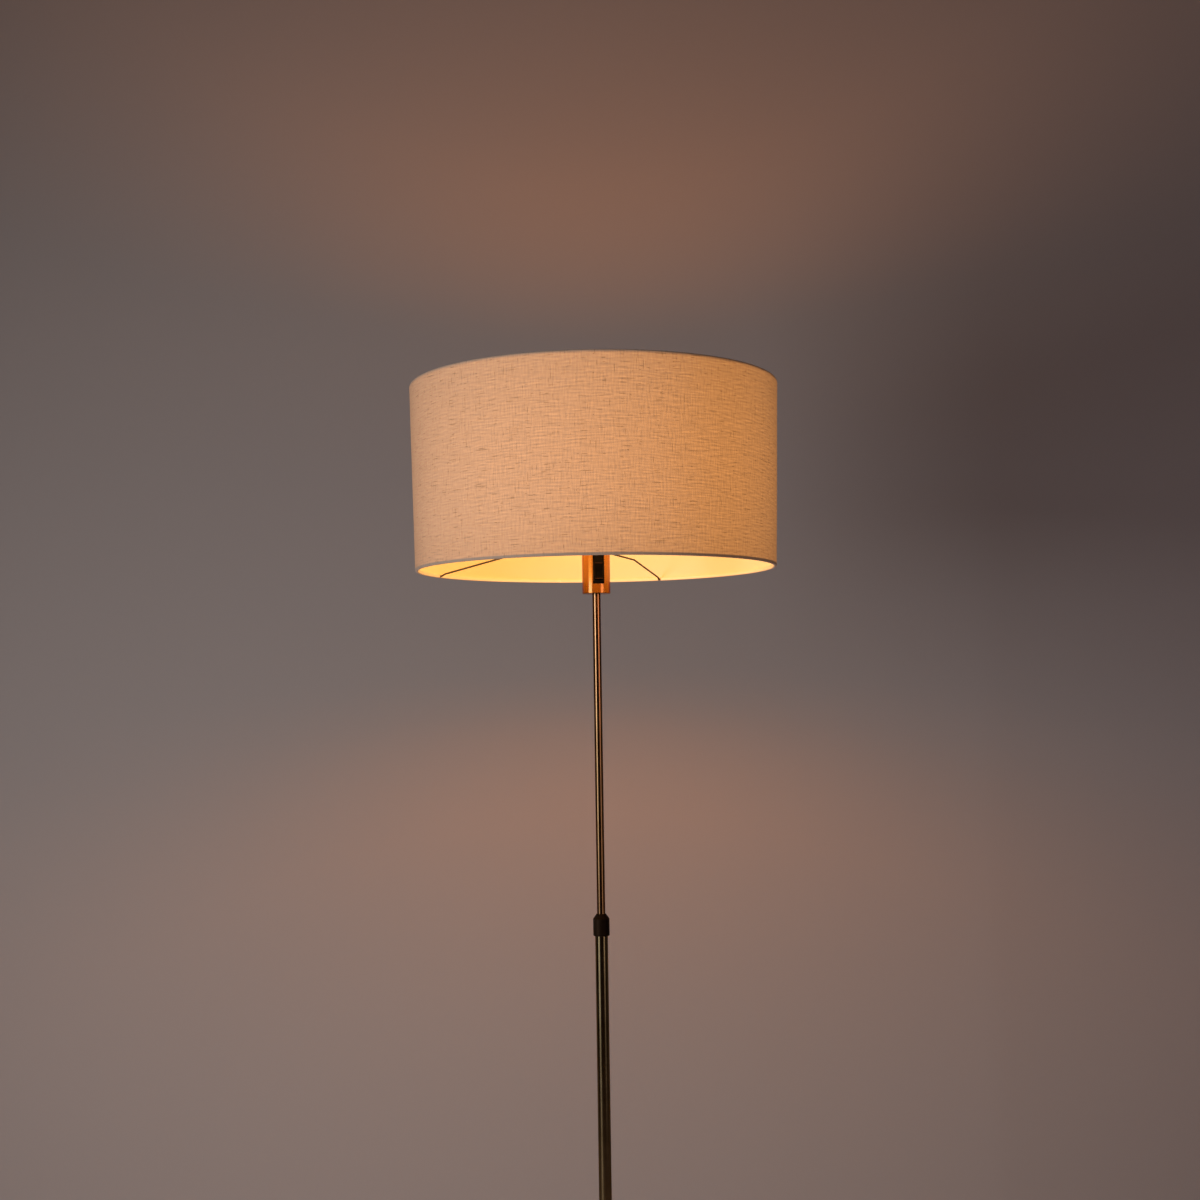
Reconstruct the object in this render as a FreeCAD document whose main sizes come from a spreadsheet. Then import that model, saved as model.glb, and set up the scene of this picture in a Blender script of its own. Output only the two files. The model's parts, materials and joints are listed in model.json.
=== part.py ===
import FreeCAD, Part
import math
import os
import Sketcher

# Telescopic floor lamp, millimetres. The floor is z = 0, the mast stands on the z axis and the rocker switch faces -y.
# A weighted round base carries a lower tube; an upper tube slides and turns in it and is held by a twist collar that
# closes a split collet. The upper tube carries the slotted cup, the screw-in lampholder with its rocker switch, the
# bulb, and a drum shade on a four-armed wire spider.

V = FreeCAD.Vector
X_AXIS, Y_AXIS, Z_AXIS = V(1, 0, 0), V(0, 1, 0), V(0, 0, 1)

doc = FreeCAD.newDocument("telescopic_floor_lamp")

# ---------------------------------------------------------------------------------------------------------------
# Driving dimensions
# ---------------------------------------------------------------------------------------------------------------

TABLE = [
    # base
    ("base_diameter", 280.0),
    ("base_top", 20.0),
    ("cover_wall", 1.2),
    ("cover_edge_radius", 6.0),
    ("cover_bottom", 3.0),
    ("pad_diameter", 270.0),
    ("pad_hole", 72.0),
    ("pad_thick", 2.0),
    ("weight_diameter", 272.0),
    ("recess_diameter", 64.0),
    ("recess_top", 11.0),
    ("channel_width", 9.0),
    ("gland_height", 8.5),
    ("gland_flange", 12.4),
    ("gland_barrel", 9.0),
    ("gland_bore", 6.6),
    ("gland_flange_thick", 2.0),
    ("gland_depth", 3.5),
    # threaded nipples and nuts
    ("nipple_diameter", 9.9),
    ("nipple_bore", 7.0),
    ("nut_bore", 9.96),
    ("nut_flats", 14.0),
    # mast
    ("lower_tube_diameter", 17.0),
    ("lower_tube_bore", 15.0),
    ("lower_tube_top", 911.0),
    ("upper_tube_diameter", 11.0),
    ("upper_tube_bore", 9.0),
    ("upper_tube_foot", 657.0),
    ("press_gap", 0.02),
    ("guide_gap", 0.08),
    ("ferrule_thread", 18.0),
    ("ferrule_foot", 889.0),
    ("ferrule_top", 922.0),
    ("collar_diameter", 22.0),
    ("collar_foot", 909.2),
    ("collar_cone_foot", 931.8),
    ("collar_top", 938.2),
    ("collar_mouth", 11.6),
    ("collet_diameter", 15.6),
    ("collet_slit", 1.2),
    # head
    ("cup_foot", 1368.0),
    ("cup_top", 1425.0),
    ("cup_diameter", 38.0),
    ("cup_wall", 1.2),
    ("slot_width", 15.4),
    ("slot_foot", 1380.8),
    ("holder_diameter", 33.0),
    ("holder_split", 1412.3),
    ("holder_top", 1450.0),
    ("holder_thread", 39.2),
    ("holder_bore", 28.0),
    ("flange_diameter", 42.0),
    ("switch_middle", 1397.4),
    ("switch_frame_width", 14.8),
    ("switch_frame_tall", 26.6),
    ("switch_window_width", 11.2),
    ("switch_window_tall", 24.4),
    ("switch_front", 20.4),
    ("pivot_depth", 14.5),
    ("pivot_diameter", 2.4),
    ("rocker_width", 10.4),
    ("rocker_corner_out", 6.89),
    ("rocker_corner_up", 10.948),
    ("rocker_valley", 5.351),
    ("rocker_swing", 16.0),
    ("ring_nut_diameter", 47.0),
    # bulb
    ("bulb_radius", 30.0),
    ("bulb_middle", 1493.0),
    ("bulb_wall", 1.2),
    ("bulb_seam", 1470.0),
    # shade
    ("shade_foot", 1400.0),
    ("shade_top", 1650.0),
    ("shade_foot_radius", 244.0),
    ("shade_top_radius", 250.0),
    ("fabric_thick", 0.6),
    ("liner_thick", 0.4),
    ("hem_depth", 4.9),
    ("hem_rise", 4.6),
    ("ring_wire", 3.0),
    ("arm_wire", 2.5),
    ("arm_turn", 56.0),
    ("arm_bend_radius", 140.0),
    ("arm_bend_height", 1424.2),
    ("hub_diameter", 48.0),
    ("hub_bore", 40.0),
    ("hub_height", 1427.0),
    ("hub_thick", 1.5),
]

sheet = doc.addObject("Spreadsheet::Sheet", "Sizes")
for row, (alias, value) in enumerate(TABLE, start=1):
    sheet.set("A%d" % row, alias)
    sheet.set("B%d" % row, str(value))
    sheet.setAlias("B%d" % row, alias)
doc.recompute()


class Size:
    """A length with its value now and the formula that ties it to the sheet."""

    def __init__(self, value, text, free=True):
        self.value, self.text, self.free = float(value), text, free

    def join(self, other, sign, value, swap=False):
        other = size(other)
        a, b = (other, self) if swap else (self, other)
        return Size(value(a.value, b.value), "(%s %s %s)" % (a.text, sign, b.text), self.free or other.free)

    def __add__(self, other):
        return self.join(other, "+", lambda a, b: a + b)

    def __radd__(self, other):
        return self.join(other, "+", lambda a, b: a + b, True)

    def __sub__(self, other):
        return self.join(other, "-", lambda a, b: a - b)

    def __rsub__(self, other):
        return self.join(other, "-", lambda a, b: a - b, True)

    def __mul__(self, other):
        return self.join(other, "*", lambda a, b: a * b)

    def __rmul__(self, other):
        return self.join(other, "*", lambda a, b: a * b, True)

    def __truediv__(self, other):
        return self.join(other, "/", lambda a, b: a / b)

    def __neg__(self):
        return self.join(-1.0, "*", lambda a, b: a * b)


def size(x):
    return x if isinstance(x, Size) else Size(x, "%.9g" % x if x >= 0 else "(%.9g)" % x, False)


D = {alias: Size(value, "Sizes." + alias) for alias, value in TABLE}


def half(name):
    return D[name] / 2


# ---------------------------------------------------------------------------------------------------------------
# Sketch and feature helpers
# ---------------------------------------------------------------------------------------------------------------

bodies = {}


def body(label):
    b = doc.addObject("PartDesign::Body", label)
    b.Label = label
    bodies[label] = b
    return b


def origin_plane(b, role):
    return [f for f in b.Origin.OriginFeatures if f.Role == role][0]


def new_sketch(b, name, role, lift=0, turn=0):
    """A sketch on one of the body's own planes, lifted along its normal and turned in it."""
    sk = b.newObject("Sketcher::SketchObject", b.Label + "_" + name)
    sk.AttachmentSupport = [(origin_plane(b, role), "")]
    sk.MapMode = "FlatFace"
    lift, turn = size(lift), size(turn)
    sk.AttachmentOffset = FreeCAD.Placement(V(0, 0, lift.value), FreeCAD.Rotation(Z_AXIS, turn.value))
    if lift.free:
        sk.setExpression("AttachmentOffset.Base.z", lift.text)
    if turn.free:
        sk.setExpression("AttachmentOffset.Rotation.Angle", turn.text)
    return sk


def bind(sk, constraint, s):
    i = sk.addConstraint(constraint)
    if s.free:
        sk.setExpression("Constraints[%d]" % i, s.text)
    return i


def place(sk, geo, end, x, y):
    """Ties one end of an edge to its distances from the two axes."""
    for kind, s, axis in (("DistanceX", x, -2), ("DistanceY", y, -1)):
        if abs(s.value) < 1e-9 and not s.free:
            sk.addConstraint(Sketcher.Constraint("PointOnObject", geo, end, axis))
        else:
            bind(sk, Sketcher.Constraint(kind, -1, 1, geo, end, s.value), s)


def outline(sk, points, arcs=None, closed=True):
    """A closed outline of lines, or of arcs where arcs gives a radius: positive bulges to the right of the walk."""
    arcs = arcs or {}
    points = [(size(x), size(y)) for x, y in points]
    n = len(points)
    ends = []
    for i in range(n if closed else n - 1):
        (ax, ay), (bx, by) = points[i], points[(i + 1) % n]
        a, b = V(ax.value, ay.value, 0), V(bx.value, by.value, 0)
        if i not in arcs:
            g = sk.addGeometry(Part.LineSegment(a, b), False)
            ends.append((g, 1, 2))
            continue
        r = size(arcs[i])
        radius, right = abs(r.value), r.value > 0
        chord = b - a
        left = V(-chord.y, chord.x, 0).normalize()
        rise = math.sqrt(max(radius * radius - chord.Length * chord.Length / 4, 0.0))
        # walking anticlockwise about the centre puts the centre on the left, and the bulge on the right
        centre = (a + b) / 2 + left * (rise if right else -rise)
        start, stop = (a, b) if right else (b, a)
        u = math.atan2(start.y - centre.y, start.x - centre.x)
        w = math.atan2(stop.y - centre.y, stop.x - centre.x)
        if w <= u:
            w += 2 * math.pi
        g = sk.addGeometry(Part.ArcOfCircle(Part.Circle(centre, Z_AXIS, radius), u, w), False)
        ends.append((g, 1, 2) if right else (g, 2, 1))
        bind(sk, Sketcher.Constraint("Radius", g, radius), r if right else -r)
    for i, (g, first, last) in enumerate(ends):
        place(sk, g, first, *points[i])
        if closed or i + 1 < len(ends):
            h, h_first, _ = ends[(i + 1) % len(ends)]
            sk.addConstraint(Sketcher.Constraint("Coincident", g, last, h, h_first))
        else:
            place(sk, g, last, *points[i + 1])
    return sk


def ring(sk, radius, x=0, y=0):
    radius, x, y = size(radius), size(x), size(y)
    g = sk.addGeometry(Part.Circle(V(x.value, y.value, 0), Z_AXIS, radius.value), False)
    bind(sk, Sketcher.Constraint("Radius", g, radius.value), radius)
    if abs(x.value) < 1e-9 and abs(y.value) < 1e-9 and not (x.free or y.free):
        sk.addConstraint(Sketcher.Constraint("Coincident", g, 3, -1, 1))
    else:
        place(sk, g, 3, x, y)
    return g


def turned(label, points, arcs=None):
    """A turned or spun piece: its half section revolved about the mast's axis."""
    b = body(label)
    sk = outline(new_sketch(b, "section", "XZ_Plane"), points, arcs)
    rev = b.newObject("PartDesign::Revolution", label + "_turned")
    rev.Profile = sk
    rev.ReferenceAxis = (sk, ["V_Axis"])
    rev.Angle = 360.0
    doc.recompute()
    return b


def pad(b, sk, length, name, back=False, both=False):
    f = b.newObject("PartDesign::Pad", b.Label + "_" + name)
    f.Profile = sk
    length = size(length)
    f.Length = length.value
    if length.free:
        f.setExpression("Length", length.text)
    if both:
        f.SideType = "Symmetric"
    f.Reversed = back
    doc.recompute()
    return f


def pocket(b, sk, name, length=None, back=False, both=False):
    """A cut; it must take something away."""
    before = b.Shape.Volume
    f = b.newObject("PartDesign::Pocket", b.Label + "_" + name)
    f.Profile = sk
    if length is None:
        f.Type = "ThroughAll"
    else:
        length = size(length)
        f.Length = length.value
        if length.free:
            f.setExpression("Length", length.text)
    if both:
        f.SideType = "Symmetric"
    f.Reversed = back
    doc.recompute()
    if not b.Shape.Volume < before - 1e-3:
        raise RuntimeError("%s cuts nothing" % f.Label)
    return f


def around(b, feature, count, name):
    """Repeats a feature round the mast's axis."""
    f = b.newObject("PartDesign::PolarPattern", b.Label + "_" + name)
    f.Originals = [feature]
    f.Axis = (feature.Profile[0], ["N_Axis"])
    f.Angle = 360.0
    f.Occurrences = count
    b.Tip = f
    doc.recompute()
    return f


def hexagon(sk, flats):
    r = size(flats) / 2 / math.cos(math.pi / 6)
    outline(sk, [(r * math.cos(math.radians(60 * k)), r * math.sin(math.radians(60 * k))) for k in range(6)])
    return sk


def rectangle(sk, x0, x1, y0, y1):
    return outline(sk, [(x0, y0), (x1, y0), (x1, y1), (x0, y1)])


# ---------------------------------------------------------------------------------------------------------------
# Base: soft pad, cast weight, pressed cover, and the bush that the lead comes in through
# ---------------------------------------------------------------------------------------------------------------

rb = half("base_diameter")
top = D["base_top"]
wall = D["cover_wall"]
edge = D["cover_edge_radius"]

turned("base_pad", [
    (half("pad_hole"), 0), (half("pad_diameter"), 0),
    (half("pad_diameter"), D["pad_thick"]), (half("pad_hole"), D["pad_thick"]),
])

base_weight = turned("base_weight", [
    (half("nut_bore") + 0.35, D["recess_top"]), (half("recess_diameter"), D["recess_top"]),
    (half("recess_diameter"), D["pad_thick"]), (half("weight_diameter") - 1.5, D["pad_thick"]),
    (half("weight_diameter"), D["pad_thick"] + 1.5), (half("weight_diameter"), top - wall - 7.0),
    (half("weight_diameter") - 7.0, top - wall), (half("nut_bore") + 0.35, top - wall),
])
# the lead's channel, open downwards, from the recess to the back edge
pocket(base_weight,
       rectangle(new_sketch(base_weight, "channel_section", "XZ_Plane"),
                 -half("channel_width"), half("channel_width"), D["pad_thick"] - 1.0, D["recess_top"] + 1.0),
       "channel")

base_cover = turned("base_cover", [
    (rb - wall, D["cover_bottom"]), (rb, D["cover_bottom"]), (rb, top - edge), (rb - edge, top),
    (half("nut_bore") + 0.35, top), (half("nut_bore") + 0.35, top - wall), (rb - edge, top - wall),
    (rb - wall, top - edge),
], {2: edge, 6: -(edge - wall)})
hole = new_sketch(base_cover, "lead_hole", "XZ_Plane")
ring(hole, half("gland_barrel"), 0, D["gland_height"])
pocket(base_cover, hole, "lead_hole_cut")

cord_gland = body("cord_gland")
sk = new_sketch(cord_gland, "flange_section", "XZ_Plane", -rb)
ring(sk, half("gland_flange"), 0, D["gland_height"])
ring(sk, half("gland_bore"), 0, D["gland_height"])
pad(cord_gland, sk, D["gland_flange_thick"], "flange", back=True)
sk = new_sketch(cord_gland, "barrel_section", "XZ_Plane", -rb)
ring(sk, half("gland_barrel") - 0.03, 0, D["gland_height"])
ring(sk, half("gland_bore"), 0, D["gland_height"])
pad(cord_gland, sk, D["gland_depth"], "barrel")

turned("base_nipple", [
    (half("nipple_bore"), 3.6), (half("nipple_diameter") - 0.6, 3.6), (half("nipple_diameter"), 4.2),
    (half("nipple_diameter"), 43.4), (half("nipple_diameter") - 0.6, 44.0), (half("nipple_bore"), 44.0),
])

turned("base_washer", [
    (half("nut_bore") + 0.25, D["recess_top"] - 2.0), (14.0, D["recess_top"] - 2.0),
    (14.0, D["recess_top"]), (half("nut_bore") + 0.25, D["recess_top"]),
])


def nut(label, foot, tall):
    b = body(label)
    sk = new_sketch(b, "hexagon", "XY_Plane", foot)
    hexagon(sk, D["nut_flats"])
    ring(sk, half("nut_bore"))
    pad(b, sk, tall, "block")
    return b


nut("base_nut", D["recess_top"] - 6.5, 4.5)

# ---------------------------------------------------------------------------------------------------------------
# Lower tube with the threaded plug in its foot and the clamp ferrule in its top
# ---------------------------------------------------------------------------------------------------------------

press = D["press_gap"]
bore = half("lower_tube_bore")

turned("foot_insert", [
    (half("nut_bore"), top), (bore - press, top), (bore - press, top + 29.0), (bore - press - 1.0, top + 30.0),
    (half("nut_bore"), top + 30.0),
])

turned("lower_tube", [
    (bore, top), (half("lower_tube_diameter"), top), (half("lower_tube_diameter"), D["lower_tube_top"]),
    (bore, D["lower_tube_top"]),
])

guide = half("upper_tube_diameter") + D["guide_gap"]
thread = half("ferrule_thread")
seat = half("collet_diameter") + 0.2
turned("top_ferrule", [
    (guide, D["ferrule_foot"]), (bore - press - 0.5, D["ferrule_foot"]), (bore - press, D["ferrule_foot"] + 0.8),
    (bore - press, D["lower_tube_top"]), (thread, D["lower_tube_top"]), (thread, D["ferrule_top"] - 0.6),
    (thread - 0.6, D["ferrule_top"]), (seat, D["ferrule_top"]), (seat, D["ferrule_top"] - 5.0),
    (guide, D["ferrule_top"] - 7.4),
])

# ---------------------------------------------------------------------------------------------------------------
# Clamp: split collet and twist collar
# ---------------------------------------------------------------------------------------------------------------

grip = half("upper_tube_diameter") + 0.05
outer = half("collet_diameter")
ft = D["ferrule_top"]
collet = turned("collet", [
    (grip, ft - 7.1), (grip + 0.2, ft - 7.1), (outer, ft - 5.0), (outer, ft + 7.0), (outer - 1.3, ft + 9.9),
    (grip, ft + 9.9),
])
pocket(collet,
       rectangle(new_sketch(collet, "slit_section", "XZ_Plane"),
                 -half("collet_slit"), half("collet_slit"), ft - 8.0, ft + 11.0),
       "slit")

rc = half("collar_diameter")
collar = turned("clamp_collar", [
    (thread + 0.3, D["collar_foot"]), (rc - 1.1, D["collar_foot"]), (rc, D["collar_foot"] + 1.1),
    (rc, D["collar_cone_foot"]), (half("collar_mouth") + 0.5, D["collar_top"]), (half("collar_mouth"), D["collar_top"]),
    (half("collar_mouth"), ft + 11.4), (thread + 0.3, ft + 4.3),
], {1: Size(1.1, "1.1", False)})

# ---------------------------------------------------------------------------------------------------------------
# Guide bush on the upper tube's foot, and the two rings that trap it
# ---------------------------------------------------------------------------------------------------------------

foot = D["upper_tube_foot"]
turned("guide_bush", [
    (guide, foot + 4.3), (bore - D["guide_gap"] - 0.6, foot + 4.3), (bore - D["guide_gap"], foot + 5.3),
    (bore - D["guide_gap"], foot + 27.7), (bore - D["guide_gap"] - 0.6, foot + 28.7), (guide, foot + 28.7),
])

for label, low, high in (("stop_ring_lower", 0.0, 4.0), ("stop_ring_upper", 29.0, 31.5)):
    turned(label, [
        (half("upper_tube_diameter") + press, foot + low), (bore - 0.35, foot + low), (bore - 0.35, foot + high),
        (half("upper_tube_diameter") + press, foot + high),
    ])

# ---------------------------------------------------------------------------------------------------------------
# Upper tube, nipple and slotted cup
# ---------------------------------------------------------------------------------------------------------------

cup = D["cup_foot"]
turned("upper_tube", [
    (half("upper_tube_bore"), foot), (half("upper_tube_diameter"), foot), (half("upper_tube_diameter"), cup),
    (half("upper_tube_bore"), cup),
])

turned("tube_nipple", [
    (3.0, cup - 18.0), (half("upper_tube_bore") - press, cup - 18.0), (half("upper_tube_bore") - press, cup),
    (half("nipple_diameter"), cup), (half("nipple_diameter"), cup + 15.4), (half("nipple_diameter") - 0.6, cup + 16.0),
    (3.0, cup + 16.0),
])

ro = half("cup_diameter")
cw = D["cup_wall"]
holder_cup = turned("holder_cup", [
    (half("nut_bore") + 0.07, cup), (ro - 1.0, cup), (ro, cup + 1.0), (ro, D["cup_top"]), (ro - cw, D["cup_top"]),
    (ro - cw, cup + 1.6), (half("nut_bore") + 0.07, cup + 1.6),
], {1: Size(1.0, "1.0", False)})
pocket(holder_cup,
       rectangle(new_sketch(holder_cup, "slot_section", "XZ_Plane"),
                 -half("slot_width"), half("slot_width"), D["slot_foot"], D["cup_top"] + 5.0),
       "slot", back=True)

nut("cup_nut", cup + 1.6, 3.5)

# ---------------------------------------------------------------------------------------------------------------
# Lampholder: base with the switch bay, skirt with flange and outside thread, contacts
# ---------------------------------------------------------------------------------------------------------------

rh = half("holder_diameter")
split = D["holder_split"]
mid = D["switch_middle"]
holder_base = turned("holder_base", [
    (half("nut_bore"), cup + 6.0), (rh - 1.5, cup + 6.0), (rh, cup + 7.5), (rh, split), (0, split),
    (0, cup + 17.0), (half("nut_bore"), cup + 17.0),
])
pocket(holder_base,
       rectangle(new_sketch(holder_base, "bay_section", "XZ_Plane", D["switch_front"] + 2.0),
                 -7.0, 7.0, mid - 12.9, mid + 12.9),
       "bay", D["switch_front"] + 2.0 - 9.4)
sk = new_sketch(holder_base, "screw_holes", "XY_Plane", cup + 5.0)
ring(sk, 2.4, 9.5, 6.0)
ring(sk, 2.4, -9.5, 6.0)
pocket(holder_base, sk, "screw_bores", 11.0, back=True)
sk = new_sketch(holder_base, "lock_hole", "XZ_Plane")
ring(sk, 2.0, 0, cup + 11.0)
pocket(holder_base, sk, "lock_bore")

terminal_screws = body("terminal_screws")
terminal_screws.AllowCompound = True
for k, side in (("right", 1), ("left", -1)):
    sk = new_sketch(terminal_screws, k + "_section", "XY_Plane", cup + 9.0)
    ring(sk, 2.2, 9.5 * side, 6.0)
    pad(terminal_screws, sk, 6.5, k)

holder_lock_screw = body("holder_lock_screw")
sk = new_sketch(holder_lock_screw, "section", "XZ_Plane", -5.3)
ring(sk, 1.9, 0, cup + 11.0)
pad(holder_lock_screw, sk, 7.0, "shank", back=True)

rt = half("holder_thread")
hb = half("holder_bore")
hub = D["hub_height"]
turned("holder_skirt", [
    (hb, split), (rh, split), (rh, D["cup_top"]), (half("flange_diameter") - 0.6, D["cup_top"]),
    (half("flange_diameter"), D["cup_top"] + 0.6), (half("flange_diameter"), hub), (rt, hub),
    (rt, D["holder_top"] - 0.8), (rt - 0.8, D["holder_top"]), (hb, D["holder_top"]),
])

turned("screw_shell", [
    (13.35, split + 3.5), (13.85, split + 3.5), (13.85, D["holder_top"] - 13.0), (13.35, D["holder_top"] - 13.0),
])

centre_contact = body("centre_contact")
sk = new_sketch(centre_contact, "strip", "XZ_Plane")
outline(sk, [(-3.0, split + 1.8), (2.0, split + 1.8), (8.0, split), (11.5, split), (11.5, split + 0.5),
             (8.2, split + 0.5), (2.2, split + 2.3), (-3.0, split + 2.3)])
pad(centre_contact, sk, 5.0, "spring", both=True)

# ---------------------------------------------------------------------------------------------------------------
# Rocker switch: framed housing and rocker
# ---------------------------------------------------------------------------------------------------------------

front = D["switch_front"]
pivot = D["pivot_depth"]
ww, wt = half("switch_window_width"), half("switch_window_tall")
switch_housing = body("switch_housing")
sk = new_sketch(switch_housing, "frame_section", "XZ_Plane", front)
rectangle(sk, -half("switch_frame_width"), half("switch_frame_width"),
          mid - half("switch_frame_tall"), mid + half("switch_frame_tall"))
frame_block = pad(switch_housing, sk, 2.2, "frame", back=True)
sk = new_sketch(switch_housing, "body_section", "XZ_Plane", front - 2.2)
rectangle(sk, -6.8, 6.8, mid - 12.7, mid + 12.7)
pad(switch_housing, sk, 8.2, "box", back=True)
sk = new_sketch(switch_housing, "window_section", "XZ_Plane", front)
rectangle(sk, -ww, ww, mid - wt, mid + wt)
pocket(switch_housing, sk, "window", 9.2)
sk = new_sketch(switch_housing, "pivot_section", "YZ_Plane")
ring(sk, half("pivot_diameter") + 0.05, -pivot, mid)
pocket(switch_housing, sk, "pivot_holes", 13.0, both=True)

# the rocker is drawn half way through its swing, about its pivot, and leans to ON with its upper half pressed in
rocker = body("rocker")
out, up, valley = D["rocker_corner_out"], D["rocker_corner_up"], D["rocker_valley"]
sk = new_sketch(rocker, "section", "YZ_Plane")
outline(sk, [(-out, -up), (-1.6, -(up - 0.5)), (1.6, -4.5), (1.6, 4.5), (-1.6, up - 0.5), (-out, up), (-valley, 0)])
pad(rocker, sk, D["rocker_width"], "paddle", both=True)
sk = new_sketch(rocker, "pin_section", "YZ_Plane")
ring(sk, half("pivot_diameter"))
pad(rocker, sk, D["rocker_width"] + 2.0, "pins", both=True)
rocker.Placement = FreeCAD.Placement(V(0, -14.5, 1397.4), FreeCAD.Rotation(X_AXIS, -8.0))
rocker.setExpression("Placement.Base.y", "-1 * Sizes.pivot_depth")
rocker.setExpression("Placement.Base.z", "Sizes.switch_middle")
rocker.setExpression("Placement.Rotation.Angle", "0 - Sizes.rocker_swing / 2")

# ---------------------------------------------------------------------------------------------------------------
# Ring nut that clamps the shade's hub to the holder's flange
# ---------------------------------------------------------------------------------------------------------------

hub_top = hub + D["hub_thick"]
turned("shade_ring", [
    (rt + 0.1, hub_top), (half("ring_nut_diameter"), hub_top), (half("ring_nut_diameter"), hub_top + 3.0),
    (half("ring_nut_diameter") - 2.2, hub_top + 8.0), (rt + 0.1, hub_top + 8.0),
])

# ---------------------------------------------------------------------------------------------------------------
# Bulb: screw cap with its insulator and end contact, collar, light board, opal globe
# ---------------------------------------------------------------------------------------------------------------

turned("bulb_contact", [(0, split + 2.5), (4.1, split + 2.5), (4.1, split + 4.3), (0, split + 4.3)])
turned("bulb_insulator", [
    (4.3, split + 3.5), (5.6, split + 3.5), (8.85, split + 5.8), (8.2, split + 6.55), (4.3, split + 6.55),
])
turned("bulb_cap", [
    (12.6, split + 28.7), (13.1, split + 28.7), (13.1, split + 8.7), (9.0, split + 5.9), (8.4, split + 6.6),
    (12.6, split + 9.2),
])
seam = D["bulb_seam"]
turned("bulb_collar", [
    (11.2, split + 21.7), (12.5, split + 21.7), (12.5, split + 28.75), (13.5, split + 28.75), (13.5, split + 37.2),
    (19.26, seam - 2.0), (19.26, seam), (17.4, seam), (12.3, split + 38.5), (11.2, split + 34.0),
], {4: Size(-70.0, "(-70.0)", False)})
turned("led_board", [(0, seam - 3.0), (16.2, seam - 3.0), (16.2, seam - 1.4), (0, seam - 1.4)])
br, bm, bw = D["bulb_radius"], D["bulb_middle"], D["bulb_wall"]
# the opal globe is a thin sphere cut off at the collar
bulb_globe = body("bulb_globe")
for kind, name, r in (("PartDesign::AdditiveSphere", "outside", br), ("PartDesign::SubtractiveSphere", "inside", br - bw)):
    ball = bulb_globe.newObject(kind, "bulb_globe_" + name)
    ball.Radius = r.value
    ball.setExpression("Radius", r.text)
    ball.AttachmentSupport = [(origin_plane(bulb_globe, "XY_Plane"), "")]
    ball.MapMode = "FlatFace"
    ball.AttachmentOffset = FreeCAD.Placement(V(0, 0, bm.value), FreeCAD.Rotation())
    ball.setExpression("AttachmentOffset.Base.z", bm.text)
    ball.Angle1 = -math.degrees(math.asin((bm - seam).value / r.value))
    ball.setExpression("Angle1", "-1 * asin((Sizes.bulb_middle - Sizes.bulb_seam) / %s)" % r.text)
    ball.Angle2 = 90.0
    doc.recompute()

# ---------------------------------------------------------------------------------------------------------------
# Shade: linen with hems turned over the rings, liner, two rings, hub and four wire arms
# ---------------------------------------------------------------------------------------------------------------

zb, zt = D["shade_foot"], D["shade_top"]
fb, fr = D["shade_foot_radius"], D["shade_top_radius"]
th, hd, hr = D["fabric_thick"], D["hem_depth"], D["hem_rise"]
shade_fabric = turned("shade_fabric", [
    (fb - hd, zb), (fb, zb), (fr, zt), (fr - hd, zt), (fr - hd, zt - hr), (fr - hd + th, zt - hr),
    (fr - hd + th, zt - th), (fr - th, zt - th), (fb - th, zb + th), (fb - hd + th, zb + th),
    (fb - hd + th, zb + hr), (fb - hd, zb + hr),
])
# the lower hem is snipped where the four arms reach the ring
sk = new_sketch(shade_fabric, "snip_section", "XY_Plane", zb + hr + 0.4, D["arm_turn"])
rectangle(sk, fb - hd - 1.0, fb - hd + th + 0.08, -1.9, 1.9)
snip = pocket(shade_fabric, sk, "snip", hr + 0.4 - th)
around(shade_fabric, snip, 4, "snips")

lt = D["liner_thick"]
li_b, li_t = fb - th - 0.05, fr - th - 0.05
turned("shade_liner", [
    (li_b - lt, zb + th + 0.1), (li_b, zb + th + 0.1), (li_t, zt - th - 0.1), (li_t - lt, zt - th - 0.1),
])


def wire_ring(label, radius, height):
    b = body(label)
    sk = new_sketch(b, "section", "XZ_Plane")
    ring(sk, half("ring_wire"), radius, height)
    rev = b.newObject("PartDesign::Revolution", label + "_bent")
    rev.Profile = sk
    rev.ReferenceAxis = (sk, ["V_Axis"])
    rev.Angle = 360.0
    doc.recompute()
    return b


rw = half("ring_wire")
ring_b = li_b - lt - 0.05 - rw
wire_ring("bottom_ring", ring_b, zb + th + 0.1 + rw)
wire_ring("top_ring", li_t - lt - 0.05 - rw, zt - th - 0.1 - rw)

turned("spider_hub", [
    (half("hub_bore"), hub), (half("hub_diameter"), hub), (half("hub_diameter"), hub_top), (half("hub_bore"), hub_top),
])

# each arm: nearly level from the hub, then down to the bottom ring, with a short drop at its end
arm_start = half("hub_diameter") + 0.02
for k in range(4):
    arm = body("spider_arm_%d" % (k + 1))
    spine = new_sketch(arm, "route", "XZ_Plane")
    outline(spine, [
        (arm_start, hub + 0.75), (D["arm_bend_radius"], D["arm_bend_height"]), (ring_b - 9.0, zb + 5.2),
        (ring_b - rw - 0.6, zb + 1.9),
    ], closed=False)
    sk = new_sketch(arm, "section", "YZ_Plane", arm_start)
    ring(sk, half("arm_wire"), 0, hub + 0.75)
    pipe = arm.newObject("PartDesign::AdditivePipe", arm.Label + "_wire")
    pipe.Profile = sk
    pipe.Spine = (spine, ["Edge1", "Edge2", "Edge3"])
    pipe.Transition = "Round corner"
    arm.Placement = FreeCAD.Placement(V(0, 0, 0), FreeCAD.Rotation(Z_AXIS, 56.0 + 90.0 * k))
    arm.setExpression("Placement.Rotation.Angle", "Sizes.arm_turn + %d" % (90 * k))
    doc.recompute()

# ---------------------------------------------------------------------------------------------------------------
# Checks, then one file for each piece
# ---------------------------------------------------------------------------------------------------------------

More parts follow.
